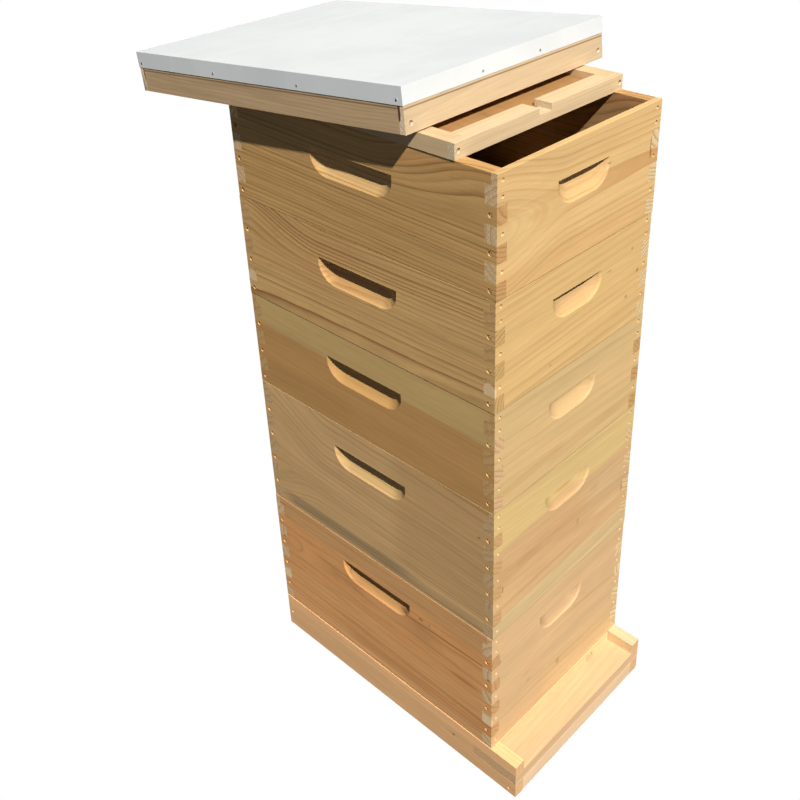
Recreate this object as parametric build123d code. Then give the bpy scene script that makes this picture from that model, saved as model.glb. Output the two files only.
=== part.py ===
from build123d import *
from math import asin, cos, degrees, sin, sqrt
import os

# Eight-frame Langstroth beehive with its lid slid back.
#
# Two deep brood boxes and three medium supers stand on a bottom board with a landing porch.
# The inner cover is slid towards the back, and the telescoping outer cover leans on it,
# tipped down behind the stack. Front is -Y, +Z is up, millimetres.

INCH = 25.4

# Hive boxes
HIVE_LENGTH = 19.875 * INCH
HIVE_WIDTH = 13.75 * INCH
BOARD = 0.75 * INCH
DEEP_HEIGHT = 9.625 * INCH
MEDIUM_HEIGHT = 6.625 * INCH
FIRST_FINGER = 1.625 * INCH
FINGER = 1.0 * INCH
REST_WIDTH = 0.375 * INCH
REST_DEPTH = 0.625 * INCH
EDGE_EASE = 0.5

# How far each box stands from the middle of the bottom board, to the right and towards the back
BOX_SHIFTS = {
    "deep_1": (0.8, 1.1),
    "deep_2": (1.6, 0.6),
    "medium_1": (2.0, 1.2),
    "medium_2": (1.4, 1.2),
    "medium_3": (1.2, 0.2),
}

# Lengths closer than this count as equal
SMALL = 0.01

# Milled hand holds
HOLD_DEPTH = 0.5 * INCH
HOLD_HEIGHT = 1.5 * INCH
HOLD_BACK = 8.0
HOLD_CUTTER_RADIUS = 2.0 * INCH
HOLD_BELOW_TOP = 1.85 * INCH
SIDE_HOLD_LENGTH = 6.2 * INCH
END_HOLD_LENGTH = 4.4 * INCH

# Nails
NAIL_LENGTH = 50.0
NAIL_RADIUS = 1.3
NAIL_HEAD_RADIUS = 2.6
WIDE_NAIL_HEAD_RADIUS = 3.5
NAIL_HEAD = 1.2
NAIL_SINK = 2.6
NAIL_FIT = 0.05
NAIL_INSET = 10.5
REST_NAIL_BELOW_TOP = 10.0
FIRST_NAIL_BELOW_TOP = 31.0

# Frames that hang in the boxes
FRAME_COUNT = 8
FRAME_PITCH = 35.3
TOP_BAR_LENGTH = 19.0 * INCH
TOP_BAR_WIDTH = 27.0
TOP_BAR_THICKNESS = 0.75 * INCH
LUG_WIDTH = 22.2
LUG_THICKNESS = 9.5
END_BAR_WIDTH = 34.9
END_BAR_WAIST = 28.6
FRAME_LENGTH = 17.625 * INCH
BAR_THICKNESS = 9.5
BOTTOM_BAR_WIDTH = 19.05
FOUNDATION_THICKNESS = 1.6
DEEP_FRAME_HEIGHT = 9.125 * INCH
MEDIUM_FRAME_HEIGHT = 6.25 * INCH

# Bottom board
SIDE_RAIL_HEIGHT = 2.0 * INCH
SIDE_RAIL_WIDTH = 0.75 * INCH
TOP_RAIL_HEIGHT = 20.6
TOP_RAIL_WIDTH = 20.6
PORCH_DEPTH = 2.0 * INCH
LANDING_WIDTH = 3.5 * INCH
FLOOR_THICKNESS = 22.2
FLOOR_HOUSING = 9.5
CLEAT_NAIL_INSET = 13.5
CLEAT_NAIL_HEIGHT = 10.5
BACK_NAIL_INSET = 9.5
BACK_NAIL_HEIGHT = 33.0
RAIL_NAIL_SPACING = 190.0
RAIL_NAIL_INSET = 14.3

# Entrance reducer
REDUCER = 0.75 * INCH
REDUCER_PLAY = 0.6
SMALL_ENTRANCE = 0.75 * INCH
SMALL_ENTRANCE_X = 97.0
WIDE_ENTRANCE = 4.0 * INCH
ENTRANCE_HEIGHT = 0.375 * INCH

# Inner cover
INNER_THICKNESS = 22.2
INNER_SIDE_WIDTH = 1.0 * INCH
INNER_END_WIDTH = 1.125 * INCH
INNER_LAP = 11.1
PANEL_THICKNESS = 0.25 * INCH
PANEL_RECESS = 0.375 * INCH
PANEL_HOUSING = 0.25 * INCH
ESCAPE_LENGTH = 3.75 * INCH
ESCAPE_WIDTH = 1.25 * INCH
VENT_WIDTH = 1.0 * INCH
INNER_SLIDE = 64.5
INNER_NAIL_INSET = 6.7

# Telescoping outer cover
COVER_LENGTH = 22.0 * INCH
COVER_WIDTH = 16.25 * INCH
COVER_HEIGHT = 59.5
COVER_BOARD = 0.625 * INCH
METAL = 0.6
METAL_PLAY = 0.1
FLANGE_HEIGHT = 23.6
RIM_THICKNESS = 0.75 * INCH
RIM_LAP = 0.375 * INCH
COVER_YAW = 0.69
COVER_X = 6.0
COVER_CONTACT_Y = -109.0
COVER_REST_GAP = 0.3
TACK_DEPTH = 16.5
TACK_RADIUS = 0.9
TACK_HEAD_RADIUS = 1.5
TACK_HEAD = 0.7
TACK_LENGTH = 16.0
SIDE_TACK_SPACING = 180.0
SIDE_TACK_STEPS = (-1.5, -0.5, 0.5, 1.5)
TACK_HOLE_END = 0.5
FRONT_TACK_SPACING = 119.0
RIM_NAIL_INSET = 10.5
RIM_NAIL_BELOW_TOP = 47.0

HALF_WIDTH = HIVE_WIDTH / 2
HALF_LENGTH = HIVE_LENGTH / 2
BASE_HEIGHT = SIDE_RAIL_HEIGHT + TOP_RAIL_HEIGHT
PORCH_FRONT = -HALF_LENGTH - PORCH_DEPTH

parts = {}


def block(x0, x1, y0, y1, z0, z1):
    """A box between two corners."""
    return Pos((x0 + x1) / 2, (y0 + y1) / 2, (z0 + z1) / 2) * Box(x1 - x0, y1 - y0, z1 - z0)


def half_turn(shape):
    """The same piece at the opposite side of the hive."""
    return Rot(0, 0, 180) * shape


def group(solids):
    """Several separate solids in one sub-part."""
    return Compound(children=[solid for piece in solids for solid in piece.solids()])


def finger_bands(height):
    """Corner fingers from the top down: (kind, upper edge, lower edge), depths below the top."""
    bands = [("end", 0.0, FIRST_FINGER)]
    while bands[-1][2] < height - SMALL:
        kind = "side" if bands[-1][0] == "end" else "end"
        bands.append((kind, bands[-1][2], bands[-1][2] + FINGER))
    return bands


# ---------------------------------------------------------------- nails

def nail(head_radius):
    """A nail driven along +Y through a face at y = 0, its head sunk below the face."""
    head = Pos(0, NAIL_SINK + NAIL_HEAD / 2, 0) * Rot(90, 0, 0) * Cylinder(head_radius, NAIL_HEAD)
    shank_length = NAIL_LENGTH - NAIL_HEAD
    shank_middle = NAIL_SINK + NAIL_HEAD + shank_length / 2
    shank = Pos(0, shank_middle, 0) * Rot(90, 0, 0) * Cylinder(NAIL_RADIUS, shank_length)
    return head + shank


def nail_hole(head_radius):
    """The hole that such a nail makes, with the recess of its punched head."""
    recess_depth = NAIL_SINK + NAIL_HEAD
    recess = Rot(90, 0, 0) * Cylinder(head_radius + NAIL_FIT, 2 * recess_depth)
    depth = NAIL_SINK + NAIL_LENGTH + NAIL_FIT
    shank = Pos(0, depth / 2, 0) * Rot(90, 0, 0) * Cylinder(NAIL_RADIUS + NAIL_FIT, depth)
    return recess + shank


NAIL = nail(NAIL_HEAD_RADIUS)
NAIL_HOLE = nail_hole(NAIL_HEAD_RADIUS)
WIDE_NAIL = nail(WIDE_NAIL_HEAD_RADIUS)
WIDE_NAIL_HOLE = nail_hole(WIDE_NAIL_HEAD_RADIUS)
INTO_BACK = Rot(0, 0, 180)
INTO_RIGHT = Rot(0, 0, -90)
INTO_LEFT = Rot(0, 0, 90)
DOWN = Rot(-90, 0, 0)


def box_nail_places(height):
    """Where a box is nailed: front and back through the end fingers, sides through theirs."""
    end_places = []
    side_places = []
    for kind, upper, lower in finger_bands(height):
        if kind == "side":
            depths = [(upper + lower) / 2]
        elif upper == 0.0:
            depths = [REST_NAIL_BELOW_TOP, FIRST_NAIL_BELOW_TOP]
        else:
            depths = [(upper + lower) / 2]
        for depth in depths:
            for across in (-1, 1):
                if kind == "end":
                    x = across * (HALF_WIDTH - NAIL_INSET)
                    end_places.append(Pos(x, -HALF_LENGTH, height - depth))
                    end_places.append(Pos(x, HALF_LENGTH, height - depth) * INTO_BACK)
                else:
                    y = across * (HALF_LENGTH - NAIL_INSET)
                    side_places.append(Pos(-HALF_WIDTH, y, height - depth) * INTO_RIGHT)
                    side_places.append(Pos(HALF_WIDTH, y, height - depth) * INTO_LEFT)
    return end_places, side_places


# ---------------------------------------------------------------- boxes

def hold_cutter(length):
    """The milled hand hold: a straight upper edge, a hollow that runs out below and at its ends.

    The cutter turns about an upright axis in front of the face, which is y = 0, and travels
    along the board. Its flank is upright at the top and curves out to the face.
    """
    reach = HOLD_CUTTER_RADIUS - HOLD_DEPTH
    run_out = sqrt(HOLD_CUTTER_RADIUS ** 2 - reach ** 2)
    travel = length / 2 - run_out
    curve_height = HOLD_HEIGHT - HOLD_BACK
    curve_radius = (curve_height ** 2 + HOLD_DEPTH ** 2) / (2 * HOLD_DEPTH)
    start = (HOLD_CUTTER_RADIUS, -HOLD_BACK)
    end = (reach, -HOLD_HEIGHT)
    half_angle = asin(curve_height / curve_radius) / 2
    middle = (
        HOLD_CUTTER_RADIUS - curve_radius * (1 - cos(half_angle)),
        -HOLD_BACK - curve_radius * sin(half_angle),
    )
    top_edge = Line((0, 0), (HOLD_CUTTER_RADIUS, 0))
    back = Line((HOLD_CUTTER_RADIUS, 0), start)
    curve = ThreePointArc(start, middle, end)
    bottom = Line(end, (0, -HOLD_HEIGHT))
    axis_line = Line((0, -HOLD_HEIGHT), (0, 0))
    outline = make_face(top_edge + back + curve + bottom + axis_line)
    turned = revolve(Plane.XZ * outline, Axis.Z)
    profile = Plane.YZ * outline
    straight = Pos(-travel, 0, 0) * extrude(profile, amount=2 * travel, dir=(1, 0, 0))
    cutter = straight + Pos(-travel, 0, 0) * turned + Pos(travel, 0, 0) * turned
    return Pos(0, -reach, 0) * cutter


END_HOLD = hold_cutter(END_HOLD_LENGTH)
SIDE_HOLD = INTO_RIGHT * hold_cutter(SIDE_HOLD_LENGTH)


def ease(board, face_axis, face_place):
    """Breaks the two long edges of a board's outer face."""
    outer = [edge for edge in board.edges() if abs(edge.center().dot(face_axis) - face_place) < SMALL]
    level = [edge for edge in outer if abs(edge.tangent_at(0.5).Z) < SMALL]
    return chamfer(level, EDGE_EASE)


def end_board(height):
    """The front board of a box, with its frame rest; the back board is the same."""
    board = block(-HALF_WIDTH, HALF_WIDTH, -HALF_LENGTH, -HALF_LENGTH + BOARD, 0, height)
    board = ease(board, Vector(0, 1, 0), -HALF_LENGTH)
    inside = -HALF_LENGTH + BOARD
    cuts = [block(-HALF_WIDTH, HALF_WIDTH, inside - REST_WIDTH, inside, height - REST_DEPTH, height)]
    for kind, upper, lower in finger_bands(height):
        if kind == "side":
            for left in (-HALF_WIDTH, HALF_WIDTH - BOARD):
                cuts.append(block(left, left + BOARD, -HALF_LENGTH, inside, height - lower, height - upper))
    cuts.append(Pos(0, -HALF_LENGTH, height - HOLD_BELOW_TOP) * END_HOLD)
    return board - cuts


def side_board(height):
    """The left board of a box; the right board is the same."""
    board = block(-HALF_WIDTH, -HALF_WIDTH + BOARD, -HALF_LENGTH, HALF_LENGTH, 0, height)
    board = ease(board, Vector(1, 0, 0), -HALF_WIDTH)
    inside = -HALF_WIDTH + BOARD
    tongue = BOARD - REST_WIDTH
    cuts = []
    for kind, upper, lower in finger_bands(height):
        if kind != "end":
            continue
        steps = [(upper, lower, BOARD)]
        if upper == 0.0:
            steps = [(0.0, REST_DEPTH, tongue), (REST_DEPTH, lower, BOARD)]
        for step_top, step_bottom, notch in steps:
            for y0, y1 in ((-HALF_LENGTH, -HALF_LENGTH + notch), (HALF_LENGTH - notch, HALF_LENGTH)):
                cuts.append(block(-HALF_WIDTH, inside, y0, y1, height - step_bottom, height - step_top))
    cuts.append(Pos(-HALF_WIDTH, 0, height - HOLD_BELOW_TOP) * SIDE_HOLD)
    return board - cuts


def box_pieces(height):
    """The four nailed boards of a box and its nails, standing on z = 0."""
    end_places, side_places = box_nail_places(height)
    front = end_board(height)
    left = side_board(height)
    boards = {"front": front, "back": half_turn(front), "left": left, "right": half_turn(left)}
    holes = [place * NAIL_HOLE for place in end_places]
    holes += [place * WIDE_NAIL_HOLE for place in side_places]
    nails = [place * NAIL for place in end_places]
    nails += [place * WIDE_NAIL for place in side_places]
    pieces = {side: board - holes for side, board in boards.items()}
    pieces["nails"] = group(nails)
    return pieces


# ---------------------------------------------------------------- frames

def hanging_frame(box_height, frame_height):
    """One frame: top bar, two end bars, bottom bar, and its sheet of foundation."""
    top = box_height - REST_DEPTH + LUG_THICKNESS
    bottom = top - frame_height
    half = FRAME_LENGTH / 2
    inner = half - BAR_THICKNESS
    bar_bottom = top - TOP_BAR_THICKNESS
    bar = block(-TOP_BAR_WIDTH / 2, TOP_BAR_WIDTH / 2, -inner, inner, bar_bottom, top)
    lug_reach = TOP_BAR_LENGTH / 2
    lugs = block(-LUG_WIDTH / 2, LUG_WIDTH / 2, -lug_reach, lug_reach, top - LUG_THICKNESS, top)
    bar_half = BOTTOM_BAR_WIDTH / 2
    bottom_bar = block(-bar_half, bar_half, -half, half, bottom, bottom + BAR_THICKNESS)
    end_bar = block(-END_BAR_WIDTH / 2, END_BAR_WIDTH / 2, -half, -inner, bottom, top)
    waist_top = top - frame_height / 3
    shoulder = END_BAR_WAIST / 2
    end_bar -= [
        block(-END_BAR_WIDTH, -shoulder, -half, -inner, bottom, waist_top),
        block(shoulder, END_BAR_WIDTH, -half, -inner, bottom, waist_top),
        block(-LUG_WIDTH / 2, LUG_WIDTH / 2, -half, -inner, top - LUG_THICKNESS, top),
        block(-bar_half, bar_half, -half, -inner, bottom, bottom + BAR_THICKNESS),
    ]
    sheet = block(
        -FOUNDATION_THICKNESS / 2, FOUNDATION_THICKNESS / 2, -inner, inner, bottom + BAR_THICKNESS, bar_bottom
    )
    return [bar + lugs, end_bar, half_turn(end_bar), bottom_bar], sheet


def frame_set(box_height, frame_height):
    """The frames of one box, side by side, and their foundation."""
    wood, sheet = hanging_frame(box_height, frame_height)
    first = -FRAME_PITCH * (FRAME_COUNT - 1) / 2
    places = [Pos(first + FRAME_PITCH * index, 0, 0) for index in range(FRAME_COUNT)]
    bars = group([place * piece for place in places for piece in wood])
    foundation = group([place * sheet for place in places])
    return {"frames": bars, "foundation": foundation}


# ---------------------------------------------------------------- bottom board

def bottom_board():
    """Side rails, floor, landing board, top rails, cleats and the entrance reducer."""
    back = HALF_LENGTH
    floor_bottom = SIDE_RAIL_HEIGHT - FLOOR_THICKNESS
    rail_inside = -HALF_WIDTH + SIDE_RAIL_WIDTH
    landing_back = PORCH_FRONT + LANDING_WIDTH
    back_inside = back - SIDE_RAIL_WIDTH

    side = block(-HALF_WIDTH, rail_inside, PORCH_FRONT, back, 0, SIDE_RAIL_HEIGHT)
    side -= block(-HALF_WIDTH, rail_inside, PORCH_FRONT, landing_back, floor_bottom, SIDE_RAIL_HEIGHT)
    housing = rail_inside - FLOOR_HOUSING
    side -= block(housing, rail_inside, landing_back, back_inside, floor_bottom, SIDE_RAIL_HEIGHT)

    nail_places = []
    for across, turn in ((-1, INTO_RIGHT), (1, INTO_LEFT)):
        x = across * HALF_WIDTH
        nail_places.append(Pos(x, PORCH_FRONT + CLEAT_NAIL_INSET, CLEAT_NAIL_HEIGHT) * turn)
        nail_places.append(Pos(x, back - BACK_NAIL_INSET, BACK_NAIL_HEIGHT) * turn)
        for step in (-1, 0, 1):
            x_rail = across * (HALF_WIDTH - RAIL_NAIL_INSET)
            nail_places.append(Pos(x_rail, step * RAIL_NAIL_SPACING, BASE_HEIGHT) * DOWN)

    floor_reach = -housing
    floor_middle = (landing_back + back_inside) / 2
    between = HALF_WIDTH - TOP_RAIL_WIDTH
    top_rail = block(-HALF_WIDTH, -between, PORCH_FRONT, back, SIDE_RAIL_HEIGHT, BASE_HEIGHT)
    pieces = {
        "bottom_side_left": side,
        "bottom_side_right": mirror(side, Plane.YZ),
        "landing_board": block(
            -HALF_WIDTH, HALF_WIDTH, PORCH_FRONT, landing_back, floor_bottom, SIDE_RAIL_HEIGHT
        ),
        "floor_board_front": block(
            -floor_reach, floor_reach, landing_back, floor_middle, floor_bottom, SIDE_RAIL_HEIGHT
        ),
        "floor_board_back": block(
            -floor_reach, floor_reach, floor_middle, back_inside, floor_bottom, SIDE_RAIL_HEIGHT
        ),
        "top_rail_left": top_rail,
        "top_rail_right": mirror(top_rail, Plane.YZ),
        "top_rail_back": block(-between, between, back - TOP_RAIL_WIDTH, back, SIDE_RAIL_HEIGHT, BASE_HEIGHT),
        "front_cleat": block(
            rail_inside, -rail_inside, PORCH_FRONT, PORCH_FRONT + SIDE_RAIL_WIDTH, 0, floor_bottom
        ),
        "back_cleat": block(rail_inside, -rail_inside, back_inside, back, 0, SIDE_RAIL_HEIGHT),
    }
    holes = [place * NAIL_HOLE for place in nail_places]
    pieces = {name: piece - holes for name, piece in pieces.items()}
    pieces["bottom_nails"] = group([place * NAIL for place in nail_places])

    length = 2 * (between - REDUCER_PLAY)
    front = -HALF_LENGTH
    reducer_back = front + REDUCER
    reducer_top = SIDE_RAIL_HEIGHT + REDUCER
    stick = block(-length / 2, length / 2, front, reducer_back, SIDE_RAIL_HEIGHT, reducer_top)
    entrance_left = SMALL_ENTRANCE_X - SMALL_ENTRANCE / 2
    entrance_top = SIDE_RAIL_HEIGHT + ENTRANCE_HEIGHT
    stick -= block(
        entrance_left, entrance_left + SMALL_ENTRANCE, front, reducer_back, SIDE_RAIL_HEIGHT, entrance_top
    )
    stick -= block(
        -WIDE_ENTRANCE / 2, WIDE_ENTRANCE / 2, reducer_back - ENTRANCE_HEIGHT, reducer_back,
        SIDE_RAIL_HEIGHT, reducer_top,
    )
    pieces["entrance_reducer"] = stick
    return pieces


# ---------------------------------------------------------------- inner cover

def inner_cover():
    """A rim of four rails round a recessed panel of three boards, standing on z = 0."""
    top = INNER_THICKNESS
    panel_top = top - PANEL_RECESS
    panel_bottom = panel_top - PANEL_THICKNESS
    side_inside = -HALF_WIDTH + INNER_SIDE_WIDTH
    end_inside = -HALF_LENGTH + INNER_END_WIDTH
    housing_x = side_inside - PANEL_HOUSING
    housing_y = end_inside - PANEL_HOUSING
    groove = block(housing_x, -housing_x, housing_y, -housing_y, panel_bottom, panel_top)

    side = block(-HALF_WIDTH, side_inside, -HALF_LENGTH + INNER_LAP, HALF_LENGTH - INNER_LAP, 0, top) - groove
    end = block(-HALF_WIDTH, HALF_WIDTH, -HALF_LENGTH, end_inside, 0, top)
    for x0, x1 in ((-HALF_WIDTH, side_inside), (-side_inside, HALF_WIDTH)):
        end -= block(x0, x1, -HALF_LENGTH + INNER_LAP, end_inside, 0, top)
    end -= groove
    vent = block(-VENT_WIDTH / 2, VENT_WIDTH / 2, -HALF_LENGTH, end_inside, panel_top, top)

    third = -2 * housing_x / 3
    slot = SlotOverall(ESCAPE_LENGTH, ESCAPE_WIDTH, rotation=90)
    escape = Pos(0, 0, panel_bottom) * extrude(slot, PANEL_THICKNESS)
    middle = block(-third / 2, third / 2, housing_y, -housing_y, panel_bottom, panel_top) - escape
    left = block(housing_x, -third / 2, housing_y, -housing_y, panel_bottom, panel_top)

    places = []
    for x in (-HALF_WIDTH + INNER_NAIL_INSET, HALF_WIDTH - INNER_NAIL_INSET):
        places.append(Pos(x, -HALF_LENGTH, top / 2))
        places.append(Pos(x, HALF_LENGTH, top / 2) * INTO_BACK)
    holes = [place * WIDE_NAIL_HOLE for place in places]
    return {
        "inner_rail_left": side - holes,
        "inner_rail_right": half_turn(side) - holes,
        "inner_rail_front": end - vent - holes,
        "inner_rail_back": half_turn(end) - holes,
        "inner_panel_left": left,
        "inner_panel_middle": middle,
        "inner_panel_right": half_turn(left),
        "inner_nails": group([place * WIDE_NAIL for place in places]),
    }


# ---------------------------------------------------------------- outer cover

def tack():
    """A short roofing tack driven along +Y, its head on the metal at y = 0."""
    head = Pos(0, -TACK_HEAD / 2, 0) * Rot(90, 0, 0) * Cylinder(TACK_HEAD_RADIUS, TACK_HEAD)
    shank = Pos(0, TACK_LENGTH / 2, 0) * Rot(90, 0, 0) * Cylinder(TACK_RADIUS, TACK_LENGTH)
    return head + shank


TACK = tack()


def outer_cover():
    """The telescoping cover, flat, with the middle of its top face at the origin."""
    half_x = COVER_WIDTH / 2
    half_y = COVER_LENGTH / 2
    wood_x = half_x - METAL - METAL_PLAY
    wood_y = half_y - METAL - METAL_PLAY
    board_top = -METAL
    board_bottom = board_top - COVER_BOARD
    rim_bottom = -COVER_HEIGHT

    sheet = block(-half_x, half_x, -half_y, half_y, -FLANGE_HEIGHT, 0)
    sheet_x = half_x - METAL
    sheet_y = half_y - METAL
    sheet -= block(-sheet_x, sheet_x, -sheet_y, sheet_y, -FLANGE_HEIGHT, board_top)
    board = block(-wood_x, wood_x, -wood_y, wood_y, board_bottom, board_top)

    inside_x = wood_x - RIM_THICKNESS
    inside_y = wood_y - RIM_THICKNESS
    lapped_y = wood_y - RIM_LAP
    side = block(-wood_x, -inside_x, -lapped_y, lapped_y, rim_bottom, board_bottom)
    front = block(-wood_x, wood_x, -wood_y, -inside_y, rim_bottom, board_bottom)
    for x0, x1 in ((-wood_x, -inside_x), (inside_x, wood_x)):
        front -= block(x0, x1, -lapped_y, -inside_y, rim_bottom, board_bottom)

    tack_places = []
    for step in SIDE_TACK_STEPS:
        y = step * SIDE_TACK_SPACING
        tack_places.append(Pos(-half_x, y, -TACK_DEPTH) * INTO_RIGHT)
        tack_places.append(Pos(half_x, y, -TACK_DEPTH) * INTO_LEFT)
    for x in (-FRONT_TACK_SPACING / 2, FRONT_TACK_SPACING / 2):
        tack_places.append(Pos(x, -half_y, -TACK_DEPTH))
        tack_places.append(Pos(x, half_y, -TACK_DEPTH) * INTO_BACK)
    hole_length = TACK_LENGTH + 2 * TACK_HOLE_END
    bore = Rot(90, 0, 0) * Cylinder(TACK_RADIUS + NAIL_FIT, hole_length)
    tack_hole = Pos(0, TACK_LENGTH / 2, 0) * bore
    tack_holes = [place * tack_hole for place in tack_places]

    nail_places = []
    for x in (-wood_x + RIM_NAIL_INSET, wood_x - RIM_NAIL_INSET):
        nail_places.append(Pos(x, -wood_y, -RIM_NAIL_BELOW_TOP))
        nail_places.append(Pos(x, wood_y, -RIM_NAIL_BELOW_TOP) * INTO_BACK)
    nail_holes = [place * WIDE_NAIL_HOLE for place in nail_places]
    holes = tack_holes + nail_holes
    fasteners = [place * WIDE_NAIL for place in nail_places] + [place * TACK for place in tack_places]
    return {
        "cover_metal": sheet - tack_holes,
        "cover_board": board - tack_holes,
        "cover_rim_left": side - holes,
        "cover_rim_right": half_turn(side) - holes,
        "cover_rim_front": front - holes,
        "cover_rim_back": half_turn(front) - holes,
        "cover_nails": group(fasteners),
    }


def cover_place(inner_top, inner_back):
    """Where the tipped cover lies: its front rim on the inner cover, its board on the back edge."""
    half_y = COVER_LENGTH / 2
    rim_inside = -half_y + METAL + METAL_PLAY + RIM_THICKNESS
    rim_depth = COVER_HEIGHT - METAL - COVER_BOARD
    span = inner_back - COVER_CONTACT_Y
    tilt = degrees(asin(rim_depth / span))
    turn = Rot(0, 0, COVER_YAW) * Rot(-tilt, 0, 0)
    corner = turn * Pos(0, rim_inside, -COVER_HEIGHT)
    lift = inner_top + COVER_REST_GAP - corner.position.Z
    return Pos(COVER_X, COVER_CONTACT_Y - corner.position.Y, lift) * turn


# ---------------------------------------------------------------- assembly

parts.update(bottom_board())

level = BASE_HEIGHT
deep_box = box_pieces(DEEP_HEIGHT) | frame_set(DEEP_HEIGHT, DEEP_FRAME_HEIGHT)
empty_medium_box = box_pieces(MEDIUM_HEIGHT)
medium_box = empty_medium_box | frame_set(MEDIUM_HEIGHT, MEDIUM_FRAME_HEIGHT)
for box_name, box_height, pieces in (
    ("deep_1", DEEP_HEIGHT, deep_box),
    ("deep_2", DEEP_HEIGHT, deep_box),
    ("medium_1", MEDIUM_HEIGHT, medium_box),
    ("medium_2", MEDIUM_HEIGHT, medium_box),
    ("medium_3", MEDIUM_HEIGHT, empty_medium_box),
):
    shift_x, shift_y = BOX_SHIFTS[box_name]
    for piece_name, piece in pieces.items():
        parts[f"{box_name}_{piece_name}"] = Pos(shift_x, shift_y, level) * piece
    level += box_height

for piece_name, piece in inner_cover().items():
    parts[piece_name] = Pos(0, INNER_SLIDE, level) * piece

lid_place = cover_place(level + INNER_THICKNESS, HALF_LENGTH + INNER_SLIDE)
for piece_name, piece in outer_cover().items():
    parts[piece_name] = lid_place * piece

# The origin is the middle of the bounding box's underside.
limits = Compound(list(parts.values())).bounding_box()
centre = Pos(-limits.center().X, -limits.center().Y, -limits.min.Z)

os.makedirs("parts", exist_ok=True)
for name, part in parts.items():
    export_step(centre * part, f"parts/{name}.step")
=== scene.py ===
import math
import random

import bmesh
import bpy
from mathutils import Matrix, Vector


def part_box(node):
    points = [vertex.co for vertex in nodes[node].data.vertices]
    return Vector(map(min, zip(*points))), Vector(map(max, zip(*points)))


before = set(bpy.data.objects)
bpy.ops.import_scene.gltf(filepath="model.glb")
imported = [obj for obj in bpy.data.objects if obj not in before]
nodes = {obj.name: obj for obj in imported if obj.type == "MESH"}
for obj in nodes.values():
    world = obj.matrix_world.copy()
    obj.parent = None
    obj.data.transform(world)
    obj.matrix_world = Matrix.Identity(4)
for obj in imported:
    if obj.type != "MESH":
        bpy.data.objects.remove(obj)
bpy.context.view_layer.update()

BOXES = ("deep_1", "deep_2", "medium_1", "medium_2", "medium_3")

# Modifiers on the wooden pieces: weld, dissolve of flat faces, worn edges
SAME_POINT = 0.00002
SAME_PLANE = math.radians(0.5)
EDGE_WEAR = 0.00045
EDGE_SEGMENTS = 2
EDGE_ANGLE = math.radians(40)

X = Vector((1, 0, 0))
Y = Vector((0, 1, 0))
Z = Vector((0, 0, 1))


# ---------------------------------------------------------------- node trees

class Tree:
    """Builds a material's nodes with short calls; values may be numbers or sockets."""

    def __init__(self, name):
        self.material = bpy.data.materials.new(name)
        self.material.use_nodes = True
        self.nodes = self.material.node_tree.nodes
        self.links = self.material.node_tree.links
        self.nodes.clear()
        output = self.nodes.new("ShaderNodeOutputMaterial")
        self.shader = self.nodes.new("ShaderNodeBsdfPrincipled")
        self.links.new(self.shader.outputs[0], output.inputs["Surface"])

    def put(self, socket, value):
        if isinstance(value, bpy.types.NodeSocket):
            self.links.new(value, socket)
        elif hasattr(socket.default_value, "__len__"):
            size = len(socket.default_value)
            filled = list(value) + [1.0] * (size - len(value))
            socket.default_value = filled[:size]
        else:
            socket.default_value = value

    def math(self, operation, a, b=0.0):
        node = self.nodes.new("ShaderNodeMath")
        node.operation = operation
        self.put(node.inputs[0], a)
        self.put(node.inputs[1], b)
        return node.outputs[0]

    def add(self, a, b):
        return self.math("ADD", a, b)

    def minus(self, a, b):
        return self.math("SUBTRACT", a, b)

    def times(self, a, b):
        return self.math("MULTIPLY", a, b)

    def smooth(self, value, low, high, to_low=0.0, to_high=1.0):
        node = self.nodes.new("ShaderNodeMapRange")
        node.interpolation_type = "SMOOTHSTEP"
        for socket, number in zip(node.inputs, (value, low, high, to_low, to_high)):
            self.put(socket, number)
        return node.outputs[0]

    def object_point(self):
        return self.nodes.new("ShaderNodeTexCoord").outputs["Object"]

    def object_normal(self):
        return self.nodes.new("ShaderNodeTexCoord").outputs["Normal"]

    def dot(self, vector, direction):
        node = self.nodes.new("ShaderNodeVectorMath")
        node.operation = "DOT_PRODUCT"
        self.put(node.inputs[0], vector)
        self.put(node.inputs[1], direction)
        return node.outputs["Value"]

    def white_noise(self, value):
        node = self.nodes.new("ShaderNodeTexWhiteNoise")
        node.noise_dimensions = "1D"
        self.put(node.inputs["W"], value)
        return node.outputs["Value"]

    def combine(self, x, y, z):
        node = self.nodes.new("ShaderNodeCombineXYZ")
        for socket, number in zip(node.inputs, (x, y, z)):
            self.put(socket, number)
        return node.outputs[0]

    def noise(self, vector, scale=1.0, detail=2.0, roughness=0.5):
        node = self.nodes.new("ShaderNodeTexNoise")
        self.put(node.inputs["Vector"], vector)
        self.put(node.inputs["Scale"], scale)
        self.put(node.inputs["Detail"], detail)
        self.put(node.inputs["Roughness"], roughness)
        return node.outputs["Fac"]

    def mix(self, factor, a, b, blend="MIX"):
        node = self.nodes.new("ShaderNodeMix")
        node.data_type = "RGBA"
        node.blend_type = blend
        node.clamp_factor = True
        self.put(node.inputs[0], factor)
        self.put(node.inputs[6], a)
        self.put(node.inputs[7], b)
        return node.outputs[2]

    def scaled(self, colour, value):
        return self.mix(1.0, colour, self.combine(value, value, value), "MULTIPLY")

    def bump(self, height, strength, distance):
        node = self.nodes.new("ShaderNodeBump")
        self.put(node.inputs["Strength"], strength)
        self.put(node.inputs["Distance"], distance)
        self.put(node.inputs["Height"], height)
        self.links.new(node.outputs[0], self.shader.inputs["Normal"])


def shared(name, make):
    """A material that several pieces use, made the first time it is asked for."""
    return bpy.data.materials.get(name) or make(name)


# ---------------------------------------------------------------- wood

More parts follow.
